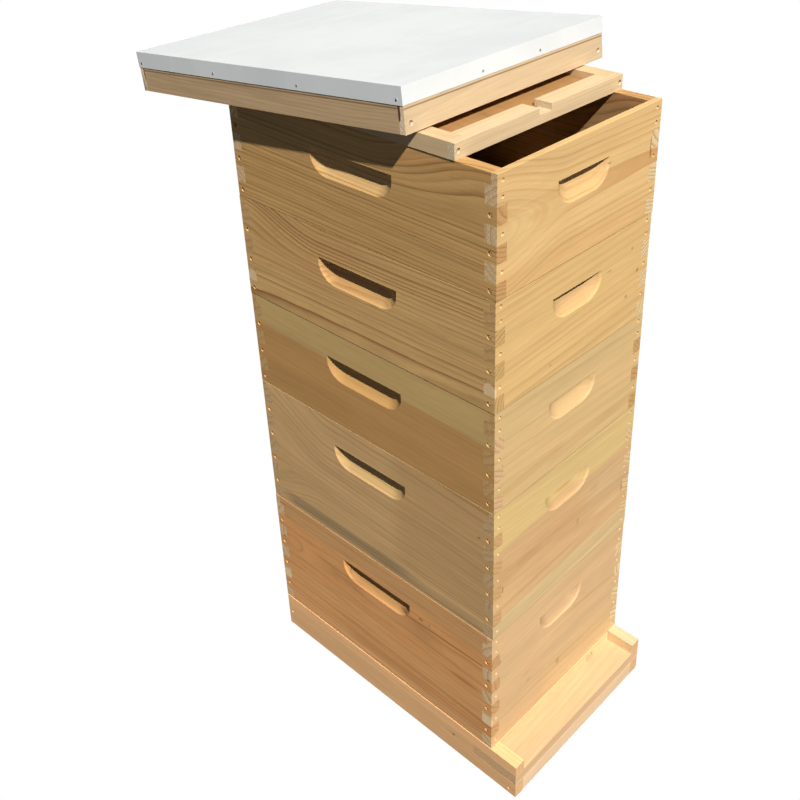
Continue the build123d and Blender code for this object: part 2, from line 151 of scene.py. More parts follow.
PALE = (0.70, 0.485, 0.225)
HONEY = (0.60, 0.365, 0.135)
HONEY_LATE = (0.27, 0.130, 0.040)
FRONT_LATE = (0.43, 0.205, 0.068)
KHAKI = (0.60, 0.415, 0.160)
ORANGE = (0.60, 0.310, 0.110)
ORANGE_LATE = (0.36, 0.145, 0.048)
REDDISH_LATE = (0.27, 0.103, 0.033)
PANEL = (0.370, 0.198, 0.073)
PANEL_LATE = (0.23, 0.100, 0.035)
GREY_GRAIN = (0.60, 0.440, 0.245)
KNOT_BROWN = (0.20, 0.085, 0.032)
SPLIT_RED = (0.085, 0.022, 0.012)
STAIN_GREY = (0.36, 0.250, 0.130)
DARK = (0.10, 0.050, 0.022)
# Painted shade: the inner faces of the boxes are darkened, partly as stain and partly for the shade
# inside them
INSIDE_STAIN_AND_SHADE = (0.72, 0.68, 0.78)
WHOLE = 1.0

# A hand hold's milled stretch: half its length, half its height, and its soft edge
HOLD_REACH = 0.085
HOLD_RISE = 0.022
HOLD_EDGE = 0.004
# Depths below the outer face at which milled wood begins and is fully so
MILLED_DEPTHS = (0.0008, 0.0040)
# The same for the inner face, in half thicknesses of the board
INNER_DEPTHS = (1.90, 1.99)

# Noise scales along and across the grain
FIBRE = (14.0, 620.0)
THREAD = (9.0, 260.0)
STREAK = (1.3, 46.0)
FLECK = (30.0, 430.0)
PORE = (60.0, 900.0)
# How far a board's noise may be shifted, so that no two boards match
SHIFT_LIMIT = 40


def band(low, high, colour, amount, soft=0.006, slope=0.0, start=-WHOLE, stop=WHOLE, fade=0.04):
    """A stripe from low to high across the board, between start and stop along the grain."""
    return dict(low=low, high=high, colour=colour, amount=amount, soft=soft, slope=slope,
                start=start, stop=stop, fade=fade)


def spot(along, across, long, wide, colour=DARK, amount=0.8, edge=0.35, deep=None, deep_size=WHOLE):
    """An oval mark on a board, through its thickness unless its place in depth is given."""
    return dict(along=along, across=across, long=long, wide=wide, colour=colour, amount=amount,
                edge=edge, deep=deep, deep_size=deep_size)


def window(t, value, low, high, soft):
    """One between low and high, and nothing beyond a soft edge outside them."""
    rise = t.smooth(value, low - soft, low)
    fall = t.smooth(value, high, high + soft, 1.0, 0.0)
    return t.times(rise, fall)


def ring_distance(t, place, look, shift):
    """How far a point is from the pith, bent by drift, lifts and knots.

    Also gives the mask of the knots and a slow cloud, which other marks use too.
    """
    a, w, d = place
    slow = t.combine(t.add(t.times(a, 2.2), shift.x), t.add(t.times(w, 9.0), shift.y),
                     t.add(t.times(d, 9.0), shift.z))
    wander = look.get("wander", 0.008)
    bent = t.times(t.minus(t.noise(slow, 1.0, 3.0, 0.55), 0.5), wander * 2)
    for along_from, along_to, across_from, across_to, height in look.get("lifts", ()):
        share = t.times(t.smooth(a, along_from, along_to), t.smooth(w, across_from, across_to))
        bent = t.add(bent, t.times(share, height))
    knots = 0.0
    for knot_along, knot_across, size, dark in look.get("knots", ()):
        ka = t.times(t.minus(a, knot_along), 0.55)
        kw = t.minus(w, knot_across)
        away = t.math("SQRT", t.add(t.times(ka, ka), t.times(kw, kw)))
        bent = t.add(bent, t.smooth(away, 0.0, size * 5.0, size * 2.6, 0.0))
        knots = t.math("MAXIMUM", knots, t.smooth(away, size * 0.6, size * 1.1, dark, 0.0))
    rw = t.minus(w, look.get("pith_across", 0.05))
    rd = t.minus(d, look.get("pith_deep", 0.07))
    distance = t.math("SQRT", t.add(t.times(rw, rw), t.times(rd, rd)))
    distance = t.add(t.add(distance, bent), t.times(a, look.get("taper", 0.015)))
    return distance, knots, t.noise(slow, 0.8, 2.0)


def late_lines(t, distance, look, shift):
    """Dark lines at the end of each year's growth, unevenly spaced and each of its own strength."""
    count = t.times(distance, 1.0 / look.get("ring", 0.0045))
    uneven = t.noise(t.combine(t.times(count, 0.35), shift.x, shift.y), 1.0, 2.0)
    count = t.add(count, t.times(uneven, 1.6))
    part = t.math("FRACT", count)
    line = t.times(t.math("POWER", part, 3.0), t.smooth(part, 0.90, 1.0, 1.0, 0.0))
    own = t.white_noise(t.add(t.math("FLOOR", count), shift.z))
    group = t.noise(t.combine(t.times(count, 0.17), shift.z, 0.0), 1.0, 2.0)
    strength = t.times(t.smooth(own, 0.0, 1.0, 0.35, 1.35), t.smooth(group, 0.3, 0.7, 0.5, 1.0))
    return line, t.times(t.times(line, strength), look.get("contrast", 0.6))


def shade_by_depth(t, place, look, colour):
    """The milled floor of a hand hold differs from the planed face, and is lightened as painted
    light in one box; the inside is stained dark, partly as painted shade.
    """
    a, w, d = place
    depth = t.minus(look["half_deep"], t.times(d, look["outer"]))
    in_hold = t.times(window(t, a, -HOLD_REACH, HOLD_REACH, HOLD_EDGE),
                      window(t, w, look["hold"] - HOLD_RISE, look["hold"] + HOLD_RISE, HOLD_EDGE))
    # The hold's floor: its milled tone, and on medium_3's side painted light
    milled = t.times(in_hold, t.smooth(depth, *MILLED_DEPTHS))
    colour = t.mix(milled, colour, look["hold_tone_and_light"], "MULTIPLY")
    # The inner faces: stain, and painted shade
    inside = t.smooth(depth, *(look["half_deep"] * share for share in INNER_DEPTHS))
    return t.mix(inside, colour, INSIDE_STAIN_AND_SHADE, "MULTIPLY")


def stretched(t, along, side, deep, scales, offset=0.0):
    """A point for noise that is drawn out along the grain."""
    along_scale, cross_scale = scales
    return t.combine(t.add(t.times(along, along_scale), offset),
                     t.times(side, cross_scale), t.times(deep, cross_scale))


def add_bands(t, place, cloud, look, colour):
    """Paints the stripes along the grain."""
    a, w, _ = place
    for stripe in look.get("bands", ()):
        level = t.minus(w, t.times(a, stripe["slope"]))
        level = t.add(level, t.times(t.minus(cloud, 0.5), stripe["soft"] * 2.5))
        inside = window(t, level, stripe["low"], stripe["high"], stripe["soft"])
        if stripe["start"] > -WHOLE or stripe["stop"] < WHOLE:
            inside = t.times(inside, window(t, a, stripe["start"], stripe["stop"], stripe["fade"]))
        colour = t.mix(t.times(inside, stripe["amount"]), colour, stripe["colour"])
    return colour


def offset_squared(t, value, mark, middle, size):
    """The square of how far a value is from a mark's middle, in units of the mark's size."""
    away = t.times(t.minus(value, mark[middle]), 1.0 / mark[size])
    return t.times(away, away)


def add_spots(t, place, thread, look, colour):
    """Paints the oval marks, their edges made ragged by the grain."""
    a, w, d = place
    for mark in look.get("spots", ()):
        away = t.add(offset_squared(t, a, mark, "along", "long"),
                     offset_squared(t, w, mark, "across", "wide"))
        if mark["deep"] is not None:
            away = t.add(away, offset_squared(t, d, mark, "deep", "deep_size"))
        away = t.add(t.math("SQRT", away), t.times(t.minus(thread, 0.5), 0.5))
        inside = t.smooth(away, 1.0 - mark["edge"], 1.0 + mark["edge"], mark["amount"], 0.0)
        colour = t.mix(inside, colour, mark["colour"])
    return colour


def add_end_spots(t, place, look, colour):
    """Paints on end grain the marks that lie there, which are those with a place in depth."""
    a, w, d = place
    for mark in look.get("spots", ()):
        if mark["deep"] is not None:
            away = t.math("SQRT", t.add(offset_squared(t, w, mark, "across", "wide"),
                                        offset_squared(t, d, mark, "deep", "deep_size")))
            near = t.smooth(t.math("ABSOLUTE", t.minus(a, mark["along"])), 0.01, 0.02, 1.0, 0.0)
            inside = t.times(t.smooth(away, 0.8, 1.1, mark["amount"], 0.0), near)
            colour = t.mix(inside, colour, mark["colour"])
    return colour


def wood(name, along, across, look):
    """Sawn softwood: growth rings about a pith line, with fibres, end grain, knots and stains.

    along is the direction of the grain and across that of the board's width. Rings are solid, so
    that faces, edges and end grain of a board agree.
    """
    rng = random.Random(name)
    shift = Vector([rng.uniform(-SHIFT_LIMIT, SHIFT_LIMIT) for _ in range(3)])
    middle = look["middle"]
    t = Tree(name)
    point = t.object_point()
    place = [t.minus(t.dot(point, direction), middle.dot(direction))
             for direction in (along, across, along.cross(across))]
    a, w, d = place

    distance, knots, cloud = ring_distance(t, place, look, shift)
    line, late_here = late_lines(t, distance, look, shift)
    fibre = t.noise(stretched(t, a, w, d, FIBRE), 1.0, 3.0, 0.6)
    thread = t.noise(stretched(t, a, distance, d, THREAD, shift.z), 1.0, 3.0, 0.6)
    streak = t.noise(stretched(t, a, distance, d, STREAK, shift.y), 1.0, 3.0, 0.5)

    late = look.get("late", HONEY_LATE)
    colour = look.get("early", HONEY)
    if "second" in look:
        share = t.smooth(t.add(streak, t.times(t.minus(cloud, 0.5), 0.6)), 0.42, 0.66)
        colour = t.mix(t.times(share, 0.75), colour, look["second"])
    colour = add_bands(t, place, cloud, look, colour)
    colour = t.mix(late_here, colour, late)
    colour = add_spots(t, place, thread, look, colour)
    flecks = t.smooth(t.noise(stretched(t, a, w, d, FLECK, shift.x), 1.0, 2.0), 0.64, 0.78)
    colour = t.mix(t.times(flecks, look.get("stringy", 0.25)), colour, late)
    brightness = 1.0
    shares = ((streak, 0.26), (fibre, 0.30), (thread, look.get("threads", 0.34)), (cloud, 0.20))
    for value, share in shares:
        brightness = t.add(brightness, t.times(t.minus(value, 0.5), share))
    colour = t.mix(knots, t.scaled(colour, brightness), KNOT_BROWN)
    if "hold" in look:
        colour = shade_by_depth(t, place, look, colour)

    # End grain drinks more light: it is greyer, with pores, and its rings are plainer.
    ends = t.smooth(t.math("ABSOLUTE", t.dot(t.object_normal(), along)), 0.6, 0.85)
    pores = t.noise(stretched(t, a, w, d, PORE), 1.0, 2.0)
    end_colour = t.mix(t.times(line, 0.75), look.get("end", GREY_GRAIN), look.get("end_late", late))
    end_colour = t.scaled(end_colour, t.smooth(pores, 0.25, 0.75, 0.70, 1.24))
    end_colour = add_end_spots(t, place, look, end_colour)

    t.put(t.shader.inputs["Base Color"], t.mix(ends, colour, end_colour))
    rough = t.add(0.58, t.times(fibre, 0.16))
    t.put(t.shader.inputs["Roughness"], t.minus(rough, t.times(late_here, 0.10)))
    t.shader.inputs["Specular IOR Level"].default_value = 0.28
    height = t.add(t.times(fibre, 0.6), t.times(thread, 0.5))
    height = t.add(height, t.times(late_here, 0.7))
    height = t.add(height, t.times(t.times(pores, ends), 0.8))
    t.bump(height, 0.40, 0.00035)
    return t.material


# ---------------------------------------------------------------- metal, nails and wax

def painted_sheet(name):
    """White satin paint on thin sheet: smudged, with a few scratches; its clouding and faint
    dragged streaks are partly painted reflection.
    """
    t = Tree(name)
    point = t.object_point()
    cloud = t.noise(point, 4.5, 4.0, 0.6)
    grime = t.smooth(t.noise(point, 16.0, 5.0, 0.65), 0.52, 0.80)
    drag_point = t.combine(t.times(t.dot(point, X), 3.0), t.times(t.dot(point, Y), 34.0), 0.0)
    drag_and_sheen = t.smooth(t.noise(drag_point, 1.0, 3.0), 0.50, 0.72)
    scratch_point = t.combine(t.times(t.dot(point, X), 900.0), t.times(t.dot(point, Y), 12.0), 0.0)
    scratch = t.smooth(t.noise(scratch_point, 1.0, 2.0), 0.74, 0.80)
    # Painted reflection: the bluish clouding and the lighter dragged streaks, over the paint's own
    # mottling
    colour = t.mix(t.smooth(cloud, 0.38, 0.66), (0.728, 0.753, 0.764), (0.676, 0.702, 0.717))
    colour = t.mix(t.times(drag_and_sheen, 0.35), colour, (0.760, 0.785, 0.792))
    colour = t.mix(t.times(grime, 0.12), colour, (0.50, 0.48, 0.44))
    colour = t.mix(t.times(scratch, 0.16), colour, (0.50, 0.51, 0.52))
    t.put(t.shader.inputs["Base Color"], colour)
    t.put(t.shader.inputs["Roughness"], t.add(0.38, t.times(cloud, 0.20)))
    t.shader.inputs["Specular IOR Level"].default_value = 0.22
    t.bump(t.noise(point, 7.0, 2.0), 0.30, 0.0012)
    return t.material


def nail_metal(name):
    """Dark tarnished nail heads, darkened further as painted shade of their sunk holes."""
    t = Tree(name)
    tarnish = t.noise(t.object_point(), 900.0, 3.0, 0.6)
    colour = t.mix(t.smooth(tarnish, 0.35, 0.7), (0.16, 0.125, 0.090), (0.07, 0.052, 0.036))
    t.put(t.shader.inputs["Base Color"], colour)
    t.shader.inputs["Metallic"].default_value = 0.35
    t.put(t.shader.inputs["Roughness"], t.add(0.42, t.times(tarnish, 0.25)))
    t.bump(tarnish, 0.2, 0.0001)
    return t.material


CELL = 0.0053
# A hexagonal pattern's wave is shorter than its cell is wide
WAVES_PER_CELL = 1.155


def wax_sheet(name):
    """Foundation: a waxed sheet pressed with rows of hexagonal cells."""
    t = Tree(name)
    point = t.object_point()
    u = t.dot(point, Y)
    v = t.dot(point, Z)
    turn = 2 * math.pi / CELL
    waves = 0.0
    for angle in (0, 60, 120):
        c = math.cos(math.radians(angle))
        s = math.sin(math.radians(angle))
        wave = t.math("COSINE", t.times(t.add(t.times(u, c), t.times(v, s)), turn * WAVES_PER_CELL))
        waves = t.add(waves, wave)
    wall = t.smooth(waves, -1.4, -0.4, 1.0, 0.0)
    shade = t.noise(point, 18.0, 3.0)
    # Painted shade: the cells' hollows are darker than their walls
    colour = t.mix(wall, (0.62, 0.40, 0.10), (0.72, 0.52, 0.18))
    colour = t.mix(t.times(shade, 0.4), colour, (0.50, 0.30, 0.08))
    t.put(t.shader.inputs["Base Color"], colour)
    t.shader.inputs["Roughness"].default_value = 0.42
    t.bump(wall, 0.6, 0.0006)
    return t.material


# ---------------------------------------------------------------- which board is cut how

COVER_TILT = math.radians(-5.8)
COVER_YAW = math.radians(0.69)
COVER_TURN = Matrix.Rotation(COVER_YAW, 3, "Z") @ Matrix.Rotation(COVER_TILT, 3, "X")
# The left end of a box's front board, from its middle
FRONT_LEFT_END = -0.1746

# Colours, rings, stripes and marks of the seen boards; the boards opposite share them
SIDE_LOOKS = {
    "medium_3": dict(early=(0.580, 0.345, 0.129), late=HONEY_LATE, ring=0.0058, contrast=1.05,
                     stringy=0.45, pith_across=0.16, pith_deep=0.05, taper=0.022, wander=0.005,
                     threads=0.60,
                     lifts=((-0.02, -0.24, 0.000, 0.085, 0.040),),
                     bands=(band(0.045, 0.056, ORANGE, 0.45, slope=-0.12, stop=-0.10),)),
    "medium_2": dict(early=(0.635, 0.393, 0.156), late=REDDISH_LATE, ring=0.0062, contrast=0.95,
                     stringy=0.45, pith_across=-0.085, pith_deep=0.05, taper=0.015, wander=0.005,
                     threads=0.60,
                     lifts=((0.07, 0.26, -0.02, 0.08, -0.040),),
                     bands=(band(0.000, 0.075, (0.61, 0.345, 0.130), 0.5, soft=0.02, start=0.02,
                                 stop=0.20),)),
    "medium_1": dict(early=(0.535, 0.294, 0.104), late=ORANGE_LATE, ring=0.0080, contrast=0.24,
                     stringy=0.35, pith_across=0.10, pith_deep=0.07, threads=0.30,
                     bands=(band(0.034, 0.120, (0.580, 0.392, 0.157), 0.95, slope=0.025),
                            band(-0.065, -0.035, (0.48, 0.255, 0.090), 0.5, soft=0.02,
                                 start=0.05))),
    "deep_2": dict(early=(0.645, 0.405, 0.180), late=(0.40, 0.220, 0.085), ring=0.0085,
                   contrast=0.80, pith_across=0.16, pith_deep=0.09, taper=0.030, wander=0.007,
                   threads=0.45, stringy=0.35,
                   lifts=((0.09, 0.26, -0.02, 0.05, 0.035), (0.12, 0.26, -0.02, -0.07, -0.030)),
                   bands=(band(-0.080, 0.130, (0.500, 0.300, 0.125), 0.55, soft=0.010, stop=-0.08,
                               fade=0.05),
                          band(-0.116, -0.097, STAIN_GREY, 0.75, soft=0.004, start=-0.05, stop=0.19,
                               fade=0.05),
                          band(-0.116, -0.101, STAIN_GREY, 0.40, soft=0.005, start=-0.22,
                               stop=-0.02),
                          band(-0.1045, -0.1033, DARK, 0.40, soft=0.0008, start=-0.02, stop=0.14),
                          band(-0.1105, -0.1095, DARK, 0.40, soft=0.0008, start=-0.10, stop=0.19),
                          band(-0.1165, -0.1150, DARK, 0.40, soft=0.0010, start=-0.23, stop=-0.10),
                          band(-0.0925, -0.0915, DARK, 0.30, soft=0.0008, start=-0.23, stop=-0.02),
                          band(-0.0865, -0.0855, DARK, 0.30, soft=0.0008, start=-0.23, stop=0.00),
                          band(-0.0795, -0.0785, DARK, 0.25, soft=0.0008, start=-0.23, stop=0.00)),
                   spots=(spot(-0.225, 0.064, 0.003, 0.002, KNOT_BROWN, 0.55),)),
    "deep_1": dict(early=(0.775, 0.395, 0.154), late=ORANGE_LATE, ring=0.0095, contrast=0.50,
                   stringy=0.50, pith_across=0.03, pith_deep=0.05, taper=0.012, threads=0.60,
                   second=(0.690, 0.325, 0.114),
                   knots=((0.215, 0.030, 0.005, 0.04),),
                   bands=(band(0.088, 0.125, (0.60, 0.334, 0.136), 0.7, soft=0.012),
                          band(-0.125, -0.100, (0.78, 0.430, 0.185), 0.6, soft=0.006),
                          band(0.0445, 0.0465, REDDISH_LATE, 0.60, soft=0.002, slope=-0.04,
                               stop=-0.065, fade=0.02),
                          band(0.0385, 0.0405, REDDISH_LATE, 0.30, soft=0.002, start=0.07,
                               stop=0.13),
                          band(-0.0655, -0.0640, REDDISH_LATE, 0.40, soft=0.0015, slope=0.03,
                               stop=0.05),
                          band(-0.0700, -0.0690, REDDISH_LATE, 0.30, soft=0.0015, slope=0.03,
                               stop=-0.06),
                          band(-0.101, -0.084, (0.54, 0.250, 0.090), 0.35, soft=0.008, stop=0.05)),
                   spots=(spot(-0.103, 0.061, 0.005, 0.0022, KNOT_BROWN, 0.6),
                          spot(-0.122, 0.060, 0.002, 0.002, KNOT_BROWN, 0.5),
                          spot(-0.195, -0.008, 0.030, 0.004, REDDISH_LATE, 0.35))),
}
FRONT_LOOKS = {
    "medium_3": dict(early=(0.680, 0.445, 0.195), late=FRONT_LATE, ring=0.0088, contrast=0.60,
                     stringy=0.10, pith_across=0.006, pith_deep=0.045, taper=0.010, wander=0.006,
                     end=(0.72, 0.510, 0.285),
                     lifts=((-0.03, -0.18, -WHOLE, -0.90, -0.024),),
                     bands=(band(-0.004, 0.016, (0.65, 0.370, 0.150), 0.65, soft=0.003,
                                 start=0.055),
                            band(0.022, 0.033, (0.62, 0.350, 0.140), 0.45, soft=0.004, slope=0.06,
                                 stop=-0.065),
                            band(-0.095, -0.055, (0.66, 0.385, 0.158), 0.55, soft=0.012)),
                     spots=(spot(-0.115, -0.010, 0.060, 0.050, (0.690, 0.460, 0.205), 0.60, 0.6),
                            spot(-0.128, 0.006, 0.030, 0.018, (0.74, 0.515, 0.245), 0.35, 0.6),
                            spot(-0.096, 0.006, 0.016, 0.008, (0.62, 0.345, 0.135), 0.40, 0.5),
                            spot(0.1555, 0.020, 0.0022, 0.016, REDDISH_LATE, 0.8),
                            spot(0.056, 0.027, 0.003, 0.0015, amount=0.45))),
    "medium_2": dict(early=(0.660, 0.432, 0.182), late=FRONT_LATE, ring=0.0125, contrast=0.50,
                     stringy=0.12, pith_across=-0.15, pith_deep=0.05, taper=-0.045, wander=0.007,
                     end=(0.59, 0.360, 0.155),
                     spots=(spot(0.075, 0.027, 0.006, 0.0012, KNOT_BROWN, 0.45),
                            spot(0.130, 0.042, 0.003, 0.0022, KNOT_BROWN, 0.45),
                            spot(0.148, 0.000, 0.003, 0.0026, KNOT_BROWN, 0.55),
                            spot(0.123, -0.034, 0.0036, 0.0024, KNOT_BROWN, 0.50),
                            spot(FRONT_LEFT_END, -0.051, 0.004, 0.0125, (0.80, 0.580, 0.330), 0.85,
                                 deep=0.0, deep_size=0.012),
                            spot(-0.057, -0.065, 0.002, 0.002, KNOT_BROWN, 0.35))),
    "medium_1": dict(early=(0.635, 0.440, 0.206), late=FRONT_LATE, ring=0.0130, contrast=0.32,
                     stringy=0.08, pith_across=-0.10, pith_deep=0.07, taper=0.020,
                     second=(0.64, 0.412, 0.195), threads=0.28, end=(0.58, 0.360, 0.148),
                     bands=(band(-0.057, -0.047, (0.52, 0.315, 0.130), 0.45, slope=0.06,
                                 stop=-0.04),
                            band(-0.070, -0.058, (0.54, 0.335, 0.140), 0.40, start=-0.03))),
    "deep_2": dict(early=(0.615, 0.388, 0.188), late=FRONT_LATE, ring=0.0110, contrast=0.24,
                   stringy=0.12, pith_across=-0.06, pith_deep=0.06, taper=0.03, wander=0.009,
                   end=(0.60, 0.405, 0.212),
                   bands=(band(0.050, 0.130, (0.650, 0.465, 0.200), 0.92, soft=0.004, slope=0.02),
                          band(-0.125, -0.087, (0.63, 0.465, 0.235), 0.85, soft=0.005, slope=0.03),
                          band(-0.067, -0.063, REDDISH_LATE, 0.16, soft=0.003, slope=0.03,
                               stop=0.02)),
                   spots=(spot(0.105, 0.010, 0.055, 0.030, (0.63, 0.430, 0.225), 0.5, 0.6),
                          spot(-0.100, -0.012, 0.030, 0.010, (0.55, 0.300, 0.122), 0.55, 0.6),
                          spot(-0.145, -0.012, 0.016, 0.020, (0.60, 0.335, 0.145), 0.45, 0.6),
                          spot(-0.020, 0.000, 0.060, 0.022, (0.59, 0.345, 0.155), 0.50, 0.6),
                          spot(0.112, -0.042, 0.045, 0.006, (0.67, 0.480, 0.250), 0.55, 0.5),
                          spot(0.072, 0.017, 0.012, 0.005, (0.53, 0.305, 0.135), 0.45, 0.5),
                          spot(0.002, 0.058, 0.022, 0.005, (0.52, 0.280, 0.115), 0.60, 0.5),
                          spot(0.032, -0.026, 0.004, 0.007, (0.47, 0.255, 0.108), 0.5, 0.5),
                          spot(0.157, 0.066, 0.0018, 0.010, amount=0.6),
                          spot(0.155, -0.033, 0.0018, 0.011, amount=0.6),
                          spot(-0.153, -0.035, 0.0012, 0.007, amount=0.6))),
    "deep_1": dict(early=(0.625, 0.408, 0.211), late=FRONT_LATE, ring=0.0120, contrast=0.20,
                   stringy=0.08, pith_across=0.04, pith_deep=0.07, taper=-0.03, threads=0.28,
                   end=(0.78, 0.540, 0.300),
                   bands=(band(-0.125, -0.055, (0.66, 0.440, 0.208), 0.6, soft=0.02, start=-0.02),
                          band(0.031, 0.034, (0.48, 0.265, 0.110), 0.35, soft=0.004, slope=-0.10,
                               start=0.045),
                          band(0.011, 0.014, (0.50, 0.285, 0.120), 0.25, soft=0.004, start=0.00),
                          band(-0.066, -0.063, (0.50, 0.285, 0.120), 0.28, soft=0.004, start=0.01)),
                   spots=(spot(-0.002, -0.066, 0.004, 0.006, KNOT_BROWN, 0.35, 0.6),
                          spot(-0.088, -0.022, 0.012, 0.003, KNOT_BROWN, 0.20, 0.6),
                          spot(-0.081, -0.042, 0.006, 0.004, KNOT_BROWN, 0.20, 0.6),
                          spot(-0.1555, 0.061, 0.0020, 0.003, amount=0.6),
                          spot(-0.157, -0.035, 0.0018, 0.006, amount=0.8),
                          spot(FRONT_LEFT_END, -0.062, 0.004, 0.0125, (0.92, 0.680, 0.400), 0.8,
                               deep=0.0, deep_size=0.012),
                          spot(FRONT_LEFT_END, 0.030, 0.004, 0.0028, amount=0.9, deep=0.003,
                               deep_size=0.0042))),
}
# End grain of the side boards, seen between the fingers of the front
LEFT_END_LOOKS = {"medium_3": (0.560, 0.315, 0.127), "medium_2": (0.575, 0.370, 0.152),
                  "medium_1": (0.650, 0.427, 0.231), "deep_2": (0.595, 0.360, 0.162),
                  "deep_1": (0.570, 0.334, 0.150)}
RIGHT_END_LOOKS = {"medium_3": (0.740, 0.545, 0.305), "medium_2": (0.725, 0.545, 0.295),
                   "medium_1": (0.540, 0.325, 0.133), "deep_2": (0.690, 0.490, 0.258),
                   "deep_1": (0.755, 0.555, 0.315)}
# How the milled floor of a hand hold differs from the planed face; on medium_3's side it is also
# lightened, as painted light where the cover's shadow falls across the hold
SIDE_HOLD_TONES_AND_LIGHT = {"medium_3": (1.03, 1.10, 1.25), "medium_2": (0.83, 0.79, 0.75),
                   "medium_1": (0.96, 0.99, 0.98), "deep_2": (0.88, 0.92, 0.86),
                   "deep_1": (0.64, 0.67, 0.60)}
FRONT_HOLD_TONES = {"medium_3": (0.90, 0.88, 0.88), "medium_2": (0.86, 0.83, 0.88),
                    "medium_1": (0.90, 0.88, 0.88), "deep_2": (0.80, 0.79, 0.76),
                    "deep_1": (0.73, 0.71, 0.71)}
# From the middle of a box's board up to its hand hold, up to its edge, and out to its face
HOLD_CENTRES = {"medium": 0.021, "deep": 0.059}
HALF_HEIGHTS = {"medium": 0.08414, "deep": 0.12224}
HALF_BOARD = 0.0095
# Painted shade: a dark line along the upper arris where another box stands
FRONT_SEAM_SHADE = dict(colour=(0.20, 0.120, 0.060), amount=0.65)
SIDE_SEAM_SHADE = dict(colour=(0.34, 0.215, 0.110), amount=0.45)
SEAM_SIZE = dict(long=0.30, wide=0.0012, deep_size=0.0020)
RAIL = dict(early=(0.86, 0.500, 0.235), late=(0.66, 0.330, 0.135), ring=0.0034, contrast=0.45,
            pith_across=-0.10, end=(0.72, 0.450, 0.230))


def box_board_look(box_name, kind):
    """The grain direction, width direction and look of one of a box's four boards."""
    size = "deep" if box_name.startswith("deep") else "medium"
    outer = -1 if kind in ("left", "back") else 1
    if kind in ("left", "right"):
        ends = LEFT_END_LOOKS if kind == "left" else RIGHT_END_LOOKS
        look = dict(SIDE_LOOKS[box_name], end=ends[box_name], hold_tone_and_light=SIDE_HOLD_TONES_AND_LIGHT[box_name])
        along, seam_shade = Y, SIDE_SEAM_SHADE
    else:
        look = dict(FRONT_LOOKS[box_name], hold_tone_and_light=FRONT_HOLD_TONES[box_name])
        along, seam_shade = X, FRONT_SEAM_SHADE
    if box_name != BOXES[-1]:
        # Painted shade in the joint under the box above
        seam_shade_mark = spot(0.0, HALF_HEIGHTS[size], deep=outer * HALF_BOARD, **seam_shade, **SEAM_SIZE)
        look["spots"] = look.get("spots", ()) + (seam_shade_mark,)
    return along, Z, dict(look, hold=HOLD_CENTRES[size], outer=outer)


# Painted shade: the dark line on the rims just below the metal's edge
UNDER_FLANGE_SHADE = (band(0.0093, 0.0108, (0.17, 0.095, 0.050), 0.75, soft=0.0005),)


def cover_rim_look(node):
    """The rims of the tipped cover, with painted shade under the metal; the front one has a dark
    red split at its left end.
    """
    if node.endswith(("left", "right")):
        look = dict(early=(0.560, 0.392, 0.220), late=(0.40, 0.230, 0.110), ring=0.0030,
                    contrast=0.6, pith_across=0.06, threads=0.45, bands=UNDER_FLANGE_SHADE)
        return COVER_TURN @ Y, COVER_TURN @ Z, look
    look = dict(early=(0.600, 0.450, 0.275), late=(0.50, 0.310, 0.155), ring=0.0045, contrast=0.4,
                taper=0.05, end=(0.86, 0.680, 0.470), bands=UNDER_FLANGE_SHADE,
                spots=(spot(-0.205, 0.0080, 0.004, 0.0150, SPLIT_RED, 0.95, deep=0.0008,
                            deep_size=0.0034),))
    return COVER_TURN @ X, COVER_TURN @ Z, look


def bottom_board_look(node):
    """The rails, cleats, floor and landing of the bottom board."""
    if node == "landing_board":
        return X, Y, dict(early=(0.670, 0.432, 0.240), late=(0.57, 0.345, 0.170), ring=0.0042,
                          contrast=0.35, pith_deep=0.14, end=RAIL["end"])
    if node.startswith("floor_board"):
        return X, Y, dict(early=(0.650, 0.418, 0.226), late=HONEY, ring=0.0040, contrast=0.35,
                          end=RAIL["end"])
    if node == "entrance_reducer":
        return X, Z, dict(early=(0.74, 0.52, 0.27), late=HONEY, ring=0.0030, contrast=0.3)
    if node in ("front_cleat", "back_cleat", "top_rail_back"):
        return X, Z, dict(early=(0.780, 0.550, 0.340), late=(0.66, 0.420, 0.225), ring=0.0034,
                          contrast=0.35, end=RAIL["end"])
    if node == "top_rail_right":
        return Y, Z, dict(early=(0.700, 0.530, 0.310), late=HONEY, ring=0.0030, contrast=0.35,
                          end=RAIL["end"])
    if node.startswith("top_rail"):
        return Y, Z, dict(RAIL, early=(0.97, 0.560, 0.268), ring=0.0030, contrast=0.35)
    if node == "bottom_side_left":
        knot = (spot(-0.145, 0.012, 0.0030, 0.0018, amount=0.85),
                spot(-0.138, 0.0125, 0.0100, 0.0007, KNOT_BROWN, 0.50, 0.5))
        return Y, Z, dict(RAIL, spots=knot)
    return Y, Z, RAIL


def wood_look(node):
    """The grain direction, width direction and look of a wooden node."""
    for box_name in BOXES:
        if node.startswith(box_name):
            kind = node[len(box_name) + 1:]
            if kind in ("left", "right", "front", "back"):
                return box_board_look(box_name, kind)
            return Y, X, dict(early=PALE, late=HONEY, ring=0.0028, contrast=0.4)
    if node.startswith("cover_rim"):
        return cover_rim_look(node)
    if node == "cover_board":
        return COVER_TURN @ Y, COVER_TURN @ X, dict(early=KHAKI, late=HONEY_LATE, ring=0.005)
    if node.startswith("inner_panel"):
        return Y, X, dict(early=PANEL, late=PANEL_LATE, ring=0.0040, contrast=0.5, pith_deep=0.06)
    if node in ("inner_rail_front", "inner_rail_back"):
        return X, Z, dict(early=(0.665, 0.495, 0.295), late=(0.42, 0.270, 0.130), ring=0.0026,
                          contrast=0.55, end=(0.70, 0.560, 0.380), end_late=(0.28, 0.180, 0.085))
    if node.startswith("inner_rail"):
        return Y, Z, dict(early=(0.620, 0.455, 0.265), late=HONEY, ring=0.0030, contrast=0.4)
    return bottom_board_look(node)


